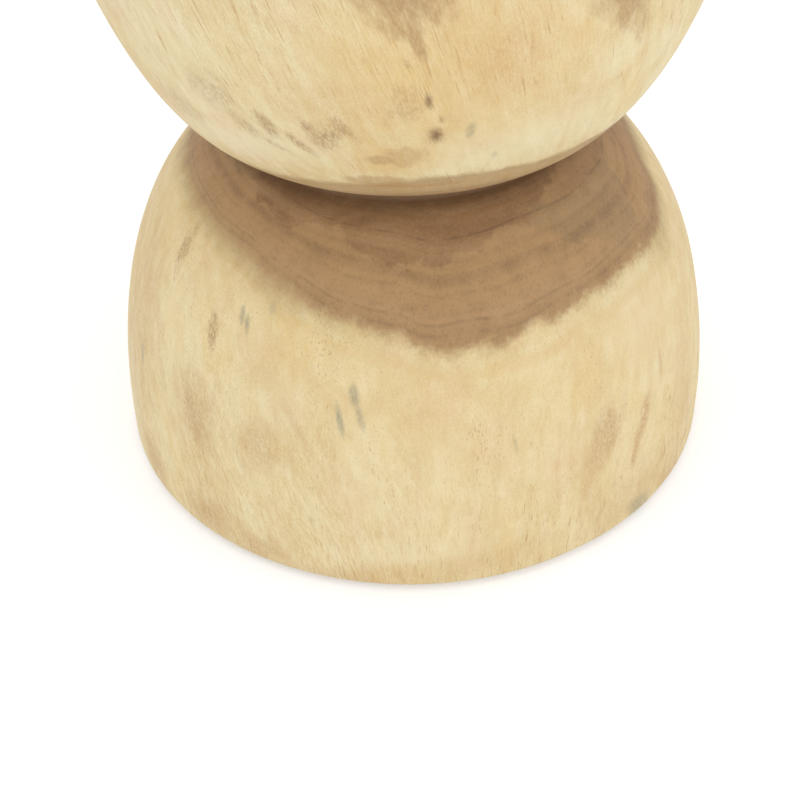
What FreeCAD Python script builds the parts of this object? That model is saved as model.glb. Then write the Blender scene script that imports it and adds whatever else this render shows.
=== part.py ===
"""Hourglass stool table: one log carved to a base, a waist and a bowl, on four nailed felt glides.

Lengths are millimetres and angles are degrees. The origin is on the floor under the middle of the
stool, +Z is up along the grain, and -Y is the front.
"""

import FreeCAD
import Part
import os
from math import cos, radians, sin

# Carved body, one solid log
BODY_HEIGHT = 400.0          # foot face to top face
BODY_RADIUS = 175.0          # plumb bands at the foot and at the rim
WAIST_RADIUS = 94.0          # bottom of the waist groove
WAIST_ROUND = 3.5            # radius of the groove's bottom
PLUMB_BAND = 6.0             # upright stretch between an edge's rounding and the shoulder
FOOT_ROUND = 2.0             # eased edge at the floor
RIM_ROUND = 2.0              # eased edge at the top

# Shoulders: slope where one runs into the groove, how far along the rise the wall stays close to upright,
# and how far out of the waist the shoulder stays close to its slope
BASE_FLANK_ANGLE = 28.0
BASE_WALL_SHARE = 0.37
BASE_SHOULDER_SHARE = 0.89
BOWL_FLANK_ANGLE = 17.0
BOWL_WALL_SHARE = 0.20
BOWL_SHOULDER_SHARE = 0.78

# Places of the four glides under the foot
GLIDE_INSET = 40.0           # glide's middle, in from the body's side
GLIDE_ANGLES = {"front_right": -45.0, "rear_right": 45.0, "rear_left": 135.0, "front_left": 225.0}

# Moulded cup of a glide
CUP_DIAMETER = 24.0
CUP_FLOOR = 1.0              # web between the wood and the felt
CUP_LIP = 1.5                # depth of the felt's seat
CUP_WALL = 1.2
CUP_EDGE_ROUND = 0.5         # rounding of the lip's outer edge

# Felt disc, glued into the cup
FELT_PROUD = 1.5             # felt below the cup's lip
FELT_CLEARANCE = 0.1         # round the felt, inside the lip
FELT_EDGE_ROUND = 0.4        # worn edge at the floor

# Nail that holds the cup to the wood, with its head under the felt
NAIL_DIAMETER = 2.4
NAIL_LENGTH = 20.0           # head's underside to tip
NAIL_POINT = 4.0
NAIL_HEAD_DIAMETER = 6.0
NAIL_HEAD_THICKNESS = 0.8
NAIL_CLEARANCE = 0.1         # round the shank in the cup and round the head in the felt

# Levels above the floor and the glides' circle
CUP_LIP_Z = FELT_PROUD
SEAT_Z = CUP_LIP_Z + CUP_LIP
FOOT_Z = SEAT_Z + CUP_FLOOR
WAIST_Z = FOOT_Z + BODY_HEIGHT / 2
TOP_Z = FOOT_Z + BODY_HEIGHT
GLIDE_CIRCLE_RADIUS = BODY_RADIUS - GLIDE_INSET

AXIS_POINT = FreeCAD.Vector(0, 0, 0)
UP = FreeCAD.Vector(0, 0, 1)
FULL_TURN = 360.0
HALF_TURN = FULL_TURN / 2
QUARTER_TURN = FULL_TURN / 4


def at(radius, height):
    """A point of a turned outline, in the half plane y = 0."""
    return FreeCAD.Vector(radius, 0, height)


def line(start, end):
    """A straight edge."""
    return Part.LineSegment(start, end).toShape()


def rounding(centre, radius, start_angle, end_angle):
    """An arc edge about centre, with its angles counted from the radius towards +Z."""
    middle_angle = (start_angle + end_angle) / 2
    points = []
    for angle in (start_angle, middle_angle, end_angle):
        turn = radians(angle)
        points.append(centre + at(radius * cos(turn), radius * sin(turn)))
    return Part.Arc(*points).toShape()


def bezier(poles):
    """A smooth edge drawn by its control points."""
    curve = Part.BezierCurve()
    curve.setPoles(poles)
    return curve.toShape()


def turned(edges):
    """The solid that a closed outline sweeps in one turn about the axis."""
    outline = Part.Wire(Part.__sortEdges__(edges))
    return Part.Face(outline).revolve(AXIS_POINT, UP, FULL_TURN)


def turned_polygon(corners):
    """A turned solid whose outline has straight sides only."""
    following = corners[1:] + corners[:1]
    return turned([line(start, end) for start, end in zip(corners, following)])


def body_half(edge_z, edge_round, upward, flank_angle, wall_share, shoulder_share):
    """Edges from the axis at one end of the body to the waist: face, edge, wall and shoulder.

    edge_z is the height of the end face, and upward is 1 from the foot to the waist and -1 from the top.
    """
    wall_start = at(BODY_RADIUS, edge_z + upward * (edge_round + PLUMB_BAND))
    flank = radians(flank_angle)
    outward_flank = at(cos(flank), -upward * sin(flank))
    inward_normal = at(-sin(flank), -upward * cos(flank))
    groove_centre = at(WAIST_RADIUS + WAIST_ROUND, WAIST_Z)
    shoulder_end = groove_centre + inward_normal * WAIST_ROUND
    wall_handle = at(0, wall_share * (WAIST_Z - wall_start.z))
    shoulder_handle = outward_flank * (shoulder_share * (BODY_RADIUS - WAIST_RADIUS))

    edge_centre = at(BODY_RADIUS - edge_round, edge_z + upward * edge_round)
    return [
        line(at(0, edge_z), at(BODY_RADIUS - edge_round, edge_z)),
        rounding(edge_centre, edge_round, -upward * QUARTER_TURN, 0),
        line(at(BODY_RADIUS, edge_centre.z), wall_start),
        bezier([wall_start, wall_start + wall_handle, shoulder_end + shoulder_handle, shoulder_end]),
    ]


def carved_body(nails):
    """The whole log: base and bowl on either side of the waist groove, with the nails' holes."""
    groove = rounding(
        at(WAIST_RADIUS + WAIST_ROUND, WAIST_Z),
        WAIST_ROUND,
        HALF_TURN + QUARTER_TURN - BASE_FLANK_ANGLE,
        HALF_TURN - QUARTER_TURN + BOWL_FLANK_ANGLE,
    )
    base = body_half(FOOT_Z, FOOT_ROUND, 1, BASE_FLANK_ANGLE, BASE_WALL_SHARE, BASE_SHOULDER_SHARE)
    bowl = body_half(TOP_Z, RIM_ROUND, -1, BOWL_FLANK_ANGLE, BOWL_WALL_SHARE, BOWL_SHOULDER_SHARE)
    grain_axis = line(at(0, FOOT_Z), at(0, TOP_Z))
    return turned(base + [groove] + bowl + [grain_axis]).cut(nails)


def glide_cup():
    """A shallow moulded cup against the wood, open to the floor, with a hole for the nail."""
    outer = CUP_DIAMETER / 2
    inner = outer - CUP_WALL
    hole = NAIL_DIAMETER / 2 + NAIL_CLEARANCE
    edge = min(CUP_EDGE_ROUND, CUP_WALL / 2)
    return turned([
        line(at(hole, FOOT_Z), at(outer, FOOT_Z)),
        line(at(outer, FOOT_Z), at(outer, CUP_LIP_Z + edge)),
        rounding(at(outer - edge, CUP_LIP_Z + edge), edge, 0, -QUARTER_TURN),
        line(at(outer - edge, CUP_LIP_Z), at(inner, CUP_LIP_Z)),
        line(at(inner, CUP_LIP_Z), at(inner, SEAT_Z)),
        line(at(inner, SEAT_Z), at(hole, SEAT_Z)),
        line(at(hole, SEAT_Z), at(hole, FOOT_Z)),
    ])


def glide_felt():
    """The disc that the stool stands on, dished on top for the nail's head."""
    outer = CUP_DIAMETER / 2 - CUP_WALL - FELT_CLEARANCE
    dish = NAIL_HEAD_DIAMETER / 2 + NAIL_CLEARANCE
    dish_z = SEAT_Z - NAIL_HEAD_THICKNESS - NAIL_CLEARANCE
    edge = min(FELT_EDGE_ROUND, FELT_PROUD / 2)
    return turned([
        line(at(0, 0), at(outer - edge, 0)),
        rounding(at(outer - edge, edge), edge, -QUARTER_TURN, 0),
        line(at(outer, edge), at(outer, SEAT_Z)),
        line(at(outer, SEAT_Z), at(dish, SEAT_Z)),
        line(at(dish, SEAT_Z), at(dish, dish_z)),
        line(at(dish, dish_z), at(0, dish_z)),
        line(at(0, dish_z), at(0, 0)),
    ])


def glide_nail():
    """A flat-headed nail, driven up through the cup into the wood."""
    shank = NAIL_DIAMETER / 2
    head = NAIL_HEAD_DIAMETER / 2
    tip_z = SEAT_Z + NAIL_LENGTH
    return turned_polygon([
        at(0, SEAT_Z - NAIL_HEAD_THICKNESS),
        at(head, SEAT_Z - NAIL_HEAD_THICKNESS),
        at(head, SEAT_Z),
        at(shank, SEAT_Z),
        at(shank, tip_z - NAIL_POINT),
        at(0, tip_z),
    ])


def under_foot(piece, angle):
    """A copy of a glide's piece at its place on the glides' circle."""
    turn = radians(angle)
    placed = piece.copy()
    placed.translate(FreeCAD.Vector(GLIDE_CIRCLE_RADIUS * cos(turn), GLIDE_CIRCLE_RADIUS * sin(turn), 0))
    return placed


def build():
    """Every node of the stool by name."""
    nodes = {}
    for place, angle in GLIDE_ANGLES.items():
        nodes[place + "_glide_cup"] = under_foot(glide_cup(), angle)
        nodes[place + "_glide_felt"] = under_foot(glide_felt(), angle)
        nodes[place + "_glide_nail"] = under_foot(glide_nail(), angle)
    nails = [piece for name, piece in nodes.items() if name.endswith("nail")]
    nodes["carved_body"] = carved_body(nails)
    return nodes


os.makedirs("parts", exist_ok=True)
for node, solid in build().items():
    solid.exportStep("parts/" + node + ".step")
    print(node, "valid", solid.isValid(), "volume", round(solid.Volume, 1))
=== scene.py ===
"""Hourglass stool table carved from one raintree log, dressed for the camera.

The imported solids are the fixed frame. The log and the felts are replaced by meshes with worn edges and
sanded faces, the moulded cups and the nails keep their solids, and every surface has a node material.
Lengths are metres, or millimetres where a name ends in _mm. An azimuth is counted in degrees from the
front, which is -Y, and grows towards +X.
"""

from __future__ import annotations

import logging
import math
from collections.abc import Mapping, Sequence
from dataclasses import dataclass, replace
from enum import Enum
from functools import partial
from typing import Any, Union

import bpy
import numpy as np
from mathutils import Matrix, Vector, noise

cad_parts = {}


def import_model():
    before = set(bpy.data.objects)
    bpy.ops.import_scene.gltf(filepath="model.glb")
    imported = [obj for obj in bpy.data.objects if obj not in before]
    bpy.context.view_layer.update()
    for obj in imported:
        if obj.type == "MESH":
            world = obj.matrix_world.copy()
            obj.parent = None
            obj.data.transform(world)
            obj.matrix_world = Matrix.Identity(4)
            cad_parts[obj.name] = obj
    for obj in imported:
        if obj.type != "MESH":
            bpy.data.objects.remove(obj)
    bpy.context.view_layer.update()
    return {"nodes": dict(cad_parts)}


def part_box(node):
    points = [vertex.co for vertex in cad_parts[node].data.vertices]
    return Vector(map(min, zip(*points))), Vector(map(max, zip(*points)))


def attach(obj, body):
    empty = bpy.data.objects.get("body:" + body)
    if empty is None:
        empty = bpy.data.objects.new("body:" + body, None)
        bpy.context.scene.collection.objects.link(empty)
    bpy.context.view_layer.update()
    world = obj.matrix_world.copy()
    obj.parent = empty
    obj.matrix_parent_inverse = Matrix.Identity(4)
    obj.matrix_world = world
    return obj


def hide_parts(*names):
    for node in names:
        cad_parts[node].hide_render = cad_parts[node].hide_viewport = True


log = logging.getLogger("stool_table")

Tree = bpy.types.NodeTree
Socket = bpy.types.NodeSocket
Value = Union[Socket, float, Sequence[float]]
Links = Union[Mapping[Union[str, int], Value], Sequence[Value]]
Span = tuple[float, float]
Shares = tuple[tuple[float, float], ...]

BODY = "root"
MM = 0.001
WHITE = (1.0, 1.0, 1.0, 1.0)
# A place loses its height when it is multiplied by this.
LEVEL = (1.0, 1.0, 0.0)
SOFT = {"interpolation_type": "SMOOTHSTEP"}
NOISE_MEAN = 0.5
QUARTER_TURN = math.pi / 2


def linear(hex_code: str) -> tuple[float, float, float, float]:
    """Turn an sRGB hex colour into linear RGBA.

    Args:
        hex_code: Colour as #rrggbb.

    Returns:
        Linear red, green and blue, with an alpha of 1.
    """
    channels = [int(hex_code[start:start + 2], 16) / 255 for start in (1, 3, 5)]
    red, green, blue = [c / 12.92 if c <= 0.04045 else ((c + 0.055) / 1.055) ** 2.4 for c in channels]
    return red, green, blue, 1.0


def plug(node: bpy.types.Node, links: Links) -> None:
    """Link or set a node's inputs.

    Args:
        node: Node of a material or of the world.
        links: Value or source socket for each input, in the inputs' order or by name or number.
    """
    pairs = links.items() if isinstance(links, Mapping) else enumerate(links)
    for key, value in pairs:
        if isinstance(key, str):
            socket = next(each for each in node.inputs if each.name == key and each.enabled)
        else:
            socket = node.inputs[key]
        if isinstance(value, Socket):
            node.id_data.links.new(value, socket)
        else:
            socket.default_value = value


def add_node(
    tree: Tree,
    kind: str,
    links: Links,
    output: str | int = 0,
    **settings: Any,
) -> Socket:
    """Add a node with its settings and links.

    Args:
        tree: Node tree of a material or of the world.
        kind: Blender's own name of the node's type, without the ShaderNode that it starts with.
        links: Value or source socket for each input, in the inputs' order or by name or number.
        output: Name or number of the output that is wanted.
        settings: Properties of the node, such as its operation.

    Returns:
        The wanted output socket.
    """
    node = tree.nodes.new(f"ShaderNode{kind}")
    for name, setting in settings.items():
        setattr(node, name, setting)
    plug(node, links)
    if isinstance(output, str):
        return next(each for each in node.outputs if each.name == output and each.enabled)
    return node.outputs[output]


def new_material(name: str) -> tuple[bpy.types.Material, bpy.types.Node]:
    """Start a material with one principled shader.

    Args:
        name: Name of the material.

    Returns:
        The material and its principled shader's node.
    """
    material = bpy.data.materials.new(name)
    material.use_nodes = True
    return material, material.node_tree.nodes["Principled BSDF"]


@dataclass(frozen=True)
class Ramp:
    """How a measure becomes a share: where it starts and is full, and the share at both ends."""

    start: float
    full: float
    at_full: float = 1.0
    at_start: float = 0.0

    def above(self, zero: float) -> Ramp:
        """Count the start and the full end from another zero."""
        return replace(self, start=zero + self.start, full=zero + self.full)

    def of(self, measure: Value) -> Links:
        """Name a measure and the ramp's ends as a range's node does."""
        source = {"Value": measure, "From Min": self.start, "From Max": self.full}
        return {**source, "To Min": self.at_start, "To Max": self.at_full}


WHOLE = Ramp(0.0, 1.0)
RampPair = tuple[Ramp, Ramp]


@dataclass(frozen=True)
class Layer:
    """A tone over a colour: the measure that places it, its ramp, and a mask that it stays within."""

    measure: Value
    ramp: Ramp
    tone: str
    within: Socket | None = None
    soft: bool = False


def layered(tree: Tree, colour: Value, layers: Sequence[Layer]) -> Value:
    """Lay tones over a colour, one after the other.

    Args:
        tree: Node tree of the material.
        colour: Colour below the tones.
        layers: The tones in their order.

    Returns:
        The colour with the tones over it.
    """
    for layer in layers:
        kind = SOFT if layer.soft else {}
        share = add_node(tree, "MapRange", layer.ramp.of(layer.measure), **kind)
        if layer.within is not None:
            share = add_node(tree, "Math", [share, layer.within], operation="MULTIPLY")
        colour = add_node(tree, "Mix", {
            "Factor": share, "A": colour, "B": linear(layer.tone),
        }, "Result", data_type="RGBA")
    return colour


def shades(measure: Value, ramps: RampPair, tones: tuple[str, str]) -> list[Layer]:
    """Lay one tone where a noise is above its mean, and another where it is below."""
    return [Layer(measure, ramp, tone) for ramp, tone in zip(ramps, tones)]


def place_mm(tree: Tree) -> Socket:
    """Add a piece's own coordinates, in millimetres."""
    place = add_node(tree, "TexCoord", {}, "Object")
    return add_node(tree, "VectorMath", {0: place, "Scale": 1 / MM}, operation="SCALE")


@dataclass(frozen=True)
class Pattern:
    """Noise drawn out one way: width and length of its features, octaves, and a shift.

    The shift tells patterns of one size apart. On the strands, a pattern follows the bowl's wall.
    """

    width_mm: float
    length_mm: float
    octaves: float = 1.0
    shift: float = 0.0
    on_strands: bool = False
    roughness: float = 0.5
    curl: float = 0.0

    def draw(self, tree: Tree, place: Socket) -> Socket:
        """Add the pattern's noise.

        Args:
            tree: Node tree of the material.
            place: Place in millimetres, with the way that the noise is drawn out as its Z.

        Returns:
            Noise about 0.5.
        """
        across = 1 / self.width_mm
        stretched = add_node(tree, "VectorMath", [
            place, (across, across, 1 / self.length_mm), (self.shift, self.shift, self.shift),
        ], operation="MULTIPLY_ADD")
        return add_node(tree, "TexNoise", {
            "Vector": stretched, "Scale": 1.0, "Detail": self.octaves,
            "Roughness": self.roughness, "Distortion": self.curl,
        }, "Fac")


def mesh_piece(name: str, vertices: np.ndarray, faces: Sequence[Sequence[int]]) -> bpy.types.Object:
    """Make a smooth-shaded mesh object from points and faces.

    Args:
        name: Name of the piece.
        vertices: Points, one row each.
        faces: Point numbers of each face, in order round its outer side.

    Returns:
        The new object, linked to the scene.
    """
    mesh = bpy.data.meshes.new(name)
    mesh.from_pydata(vertices.tolist(), [], faces)
    mesh.polygons.foreach_set("use_smooth", [True] * len(mesh.polygons))
    mesh.update()
    piece = bpy.data.objects.new(name, mesh)
    bpy.context.scene.collection.objects.link(piece)
    return piece


def circle(segments: int) -> np.ndarray:
    """Points of a unit circle, from the back round by the left."""
    turns = np.linspace(-math.pi, math.pi, segments, endpoint=False)
    return np.stack([np.sin(turns), -np.cos(turns)], axis=1)


def turned_faces(rows: int, segments: int) -> list[list[int]]:
    """List the faces of a closed turned skin whose first and last points are its two poles.

    Args:
        rows: Number of rings between the poles.
        segments: Points in each ring.

    Returns:
        Fans at the poles and quads between the rings, facing outwards.
    """
    ring = np.arange(1, 1 + rows * segments).reshape(rows, segments)
    following = np.roll(ring, -1, axis=1)
    first = np.zeros(segments, dtype=int)
    last = np.full(segments, 1 + rows * segments)
    start_fan = np.stack([first, following[0], ring[0]], axis=1)
    quads = np.stack([ring[:-1], following[:-1], following[1:], ring[1:]], axis=2).reshape(-1, 4)
    end_fan = np.stack([ring[-1], following[-1], last], axis=1)
    return start_fan.tolist() + quads.tolist() + end_fan.tolist()


def soft_noise(place: Vector, size: float) -> float:
    """Smooth noise from 0 to 1 with features about as large as size."""
    return 0.5 + 0.5 * noise.noise(place / size)


class MarkKind(Enum):
    """What made a mark in the wood, in the order in which the marks lie over each other. A few pale marks
    are painted light, and one tan mark is painted shade.
    """

    # Pale tints of the wood, and painted bounce light on the bowl's underside.
    PALE_AND_PAINTED_LIGHT = "pale shade"
    GOLD = "golden shade"
    # Tan stains of the wood, and painted shade down the base's left side.
    TAN_AND_PAINTED_SHADE = "tan shade"
    HEART_TONGUE = "tongue of heartwood"
    SMUDGE = "brown specks"
    RESIN = "orange streak"
    GREY_STAIN = "grey stain"
    KNOT = "knot"


@dataclass(frozen=True)
class MarkLook:
    """Colour of a kind of mark, how uneven, speckled and soft it is, and whether the heart hides it."""

    colour: str
    uneven: float
    speckled: float
    soft: float
    sapwood_only: bool = False
    break_ends: Span = (0.40, 0.60)

    def breaks(self) -> Ramp:
        """How much of the mark is left where fine noise breaks it up."""
        return Ramp(*self.break_ends, 1.0, 1.0 - self.speckled)


MARK_LOOKS = {
    MarkKind.PALE_AND_PAINTED_LIGHT: MarkLook("#eee5c4", 1.4, 0.2, 0.70, True),
    MarkKind.GOLD: MarkLook("#dab574", 1.4, 0.3, 0.70, True),
    MarkKind.TAN_AND_PAINTED_SHADE: MarkLook("#bd9468", 2.2, 0.5, 0.75, True),
    MarkKind.HEART_TONGUE: MarkLook("#aa855a", 1.6, 0.25, 0.40),
    MarkKind.SMUDGE: MarkLook("#936a48", 2.6, 0.70, 0.70),
    MarkKind.RESIN: MarkLook("#b98347", 0.8, 0.6, 0.60),
    MarkKind.GREY_STAIN: MarkLook("#959079", 1.0, 0.40, 0.60),
    MarkKind.KNOT: MarkLook("#6f5030", 0.8, 0.20, 0.85),
}


@dataclass(frozen=True)
class Mark:
    """One mark on the log's side: its place, its width and length along the grain, and its strength."""

    azimuth: float
    height_mm: float
    width_mm: float
    length_mm: float
    strength: float
    lean: float = 8.0


MARKS = {
    MarkKind.PALE_AND_PAINTED_LIGHT: (
        Mark(51, 132, 62, 84, 0.34),
        Mark(-54, 122, 44, 80, 0.14),
        Mark(6, 76, 130, 60, 0.16),
        Mark(-2, 30, 80, 20, 0.34),
        Mark(-27, 110, 30, 30, 0.24),
        Mark(-46, 325, 74, 110, 0.24),
        Mark(37, 296, 26, 22, 0.45),
        Mark(48, 284, 22, 24, 0.28),
        # Painted bounce light: the bowl's underside by the waist is made paler.
        Mark(20, 256, 90, 32, 0.40),
        Mark(-35, 250, 80, 24, 0.48),
        Mark(150, 320, 120, 90, 0.40),
        Mark(-130, 110, 110, 70, 0.40),
    ),
    MarkKind.GOLD: (
        Mark(6, 312, 120, 84, 0.52),
        Mark(5.6, 332, 22, 44, 0.42),
        Mark(27.5, 315, 15, 18, 0.55),
        Mark(100, 100, 100, 80, 0.35),
        Mark(-95, 310, 100, 90, 0.35),
        Mark(-3, 254.5, 40, 22, 0.60),
    ),
    MarkKind.TAN_AND_PAINTED_SHADE: (
        Mark(-45.5, 86, 26, 44, 0.46, 18),
        Mark(-29.4, 86, 28, 28, 0.46, 28),
        Mark(-23, 104, 4, 70, 0.34, 34),
        Mark(-42.9, 18, 40, 20, 0.58),
        Mark(-31.5, 14, 30, 16, 0.55),
        Mark(-62, 22, 26, 32, 0.62),
        # Painted shade: the base's left side is made darker.
        Mark(-70, 96, 44, 110, 0.30),
        Mark(-6, 10, 150, 16, 0.26),
        Mark(42, 22, 60, 36, 0.34),
        Mark(57.5, 11, 34, 28, 0.45),
        Mark(35.6, 73, 22, 34, 0.55, -30),
        Mark(31.9, 51, 8, 40, 0.40, -18),
        Mark(45.4, 66, 6, 46, 0.85, -24),
        Mark(63, 50, 26, 60, 0.28),
        Mark(53, 96, 4, 34, 0.45, -6),
        Mark(-15, 289, 30, 34, 0.16),
        Mark(140, 16, 60, 30, 0.45),
        Mark(-150, 20, 50, 36, 0.45),
        Mark(100, 290, 40, 50, 0.40),
        Mark(-118, 150, 30, 40, 0.40),
    ),
    MarkKind.HEART_TONGUE: (
        Mark(-7, 237, 30, 9, 0.55, 0),
        Mark(-5.9, 254.4, 16, 6.5, 0.60, 0),
        Mark(-1.3, 256.5, 17, 15, 0.40),
        Mark(-1.5, 363, 38, 68, 0.78, 16),
        Mark(-4.8, 357, 26, 44, 0.52, 16),
        Mark(0.9, 326, 6, 25, 0.72, 16),
        Mark(29.8, 346, 20, 56, 0.52, 18),
        Mark(34, 341, 24, 70, 0.76, 22),
        Mark(-168, 372, 30, 70, 0.60),
        Mark(112, 360, 30, 50, 0.60),
    ),
    MarkKind.SMUDGE: (
        Mark(-35.2, 286, 20, 22, 0.36, 30),
        Mark(-46.8, 264, 18, 22, 0.32, 30),
        Mark(-30.8, 268, 8, 18, 0.42, 36),
        Mark(-25.9, 272, 10, 15, 0.60, 34),
        Mark(-25.7, 256.5, 4, 14, 0.42, 60),
        Mark(-20.7, 262, 5, 20, 0.66, 42),
        Mark(-17.6, 274, 7, 12, 0.56, 40),
        Mark(-14.6, 269.5, 16, 13, 0.64, 30),
        Mark(-11.4, 275, 5, 17, 0.50, 30),
        Mark(-1.1, 291, 15, 20, 0.28),
        Mark(-43.9, 136, 6, 24, 0.60, 10),
        Mark(-59.4, 160, 8, 24, 0.60, 4),
        Mark(-46, 86, 14, 30, 0.15, 24),
        Mark(36, 77, 18, 22, 0.20, -36),
        Mark(96, 300, 30, 36, 0.40),
        Mark(118, 60, 24, 46, 0.40),
        Mark(171, 282, 28, 22, 0.36),
        Mark(-122, 70, 26, 40, 0.45),
        Mark(-160, 140, 14, 26, 0.36),
    ),
    MarkKind.RESIN: (
        Mark(-25.6, 338, 1.6, 26, 0.50),
        Mark(-22.4, 338, 1.8, 20, 0.45),
        Mark(18.6, 315, 2.4, 22, 0.45),
        Mark(15, 310, 34, 44, 0.18),
        Mark(-43, 304, 1.8, 24, 0.60, 6),
        Mark(4.1, 270.5, 11, 12, 0.42),
        Mark(-1, 231.6, 54, 2.4, 0.55, 0),
        Mark(128, 310, 3, 40, 0.50),
        Mark(-75, 60, 3, 44, 0.40),
    ),
    MarkKind.GREY_STAIN: (
        Mark(-11.9, 124, 5, 12, 0.72, 6),
        Mark(-10.8, 114, 3.6, 18, 0.55, 14),
        Mark(-14.5, 111, 3.4, 19, 0.74, 12),
        Mark(-37.2, 149.5, 3, 11, 0.70),
        Mark(-35.6, 146, 2.8, 12, 0.65),
        Mark(-30.6, 157, 4, 6, 0.38),
        Mark(10.1, 272, 4, 11, 0.50, -8),
        Mark(15.6, 252, 3, 5, 0.30),
        Mark(17.2, 92, 2, 12, 0.38),
        Mark(45.4, 9, 20, 14, 0.62, -40),
        Mark(-66, 88, 5, 12, 0.45),
        Mark(128, 92, 5, 26, 0.50),
        Mark(-110, 280, 4, 18, 0.45),
    ),
    MarkKind.KNOT: (
        Mark(2.8, 292.5, 3, 8, 0.78),
        Mark(4.1, 271, 5.4, 8.5, 0.85),
        Mark(5, 281, 3, 4, 0.28),
        Mark(152, 118, 9, 14, 0.65),
        Mark(-138, 300, 7, 12, 0.60),
    ),
}


@dataclass(frozen=True)
class Shoulder:
    """How one half of the log swells from the waist groove to its wall."""

    flank: float
    wall_share: float
    shoulder_share: float


@dataclass(frozen=True)
class LogProfile:
    """Outline of the turned log: end faces, eased edges, plumb bands, shoulders and waist groove."""

    foot_z: float
    top_z: float
    radius: float
    waist_radius: float = 94 * MM
    groove_round: float = 3.5 * MM
    edge_round: float = 2 * MM
    plumb_band: float = 6 * MM
    base: Shoulder = Shoulder(math.radians(28), 0.37, 0.89)
    bowl: Shoulder = Shoulder(math.radians(17), 0.20, 0.78)
    survey_rows: int = 80

    @property
    def waist_z(self) -> float:
        """Height of the waist."""
        return (self.foot_z + self.top_z) / 2

    @property
    def plumb_end(self) -> float:
        """Distance of a shoulder's start from its end face."""
        return self.edge_round + self.plumb_band

    def follow(self, shoulder: Shoulder, rows: int) -> tuple[np.ndarray, np.ndarray]:
        """Follow a shoulder from the plumb band to the waist groove.

        Args:
            shoulder: The base's or the bowl's shoulder.
            rows: Number of points, both ends counted.

        Returns:
            Points as radius and distance from the end face, and the outward normals there.
        """
        half = self.waist_z - self.foot_z
        start = np.array([self.radius, self.plumb_end])
        along = np.array([math.cos(shoulder.flank), -math.sin(shoulder.flank)])
        inward = np.array([-math.sin(shoulder.flank), -math.cos(shoulder.flank)])
        end = np.array([self.waist_radius + self.groove_round, half]) + self.groove_round * inward
        wall = start + np.array([0.0, shoulder.wall_share * (half - self.plumb_end)])
        brow = end + along * shoulder.shoulder_share * (self.radius - self.waist_radius)
        t = np.linspace(0.0, 1.0, rows)[:, None]
        s = 1 - t
        points = s ** 3 * start + 3 * t * s ** 2 * wall + 3 * t ** 2 * s * brow + t ** 3 * end
        slope = s ** 2 * (wall - start) + 2 * t * s * (brow - wall) + t ** 2 * (end - brow)
        normals = np.stack([slope[:, 1], -slope[:, 0]], axis=1)
        return points, normals / np.linalg.norm(normals, axis=1, keepdims=True)

    def radius_at(self, height_mm: float) -> float:
        """Find the log's radius at a height.

        Args:
            height_mm: Height above the floor.

        Returns:
            Radius in millimetres.
        """
        level = height_mm * MM
        below = level < self.waist_z
        points, _ = self.follow(self.base if below else self.bowl, self.survey_rows)
        rise = level - self.foot_z if below else self.top_z - level
        return float(np.interp(rise, points[:, 1], points[:, 0])) / MM


@dataclass(frozen=True)
class Swing:
    """Even noise that moves an edge or a turn to and fro: size of its features, octaves and two ends."""

    size_mm: float
    octaves: float
    least: float
    most: float
    roughness: float = 0.5


@dataclass(frozen=True)
class HeartZone:
    """A zone of the heartwood: tone, strength, and its edge by azimuth as shares of the log's radius."""

    tone: str
    strength: float
    edge_shares: Shares


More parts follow.
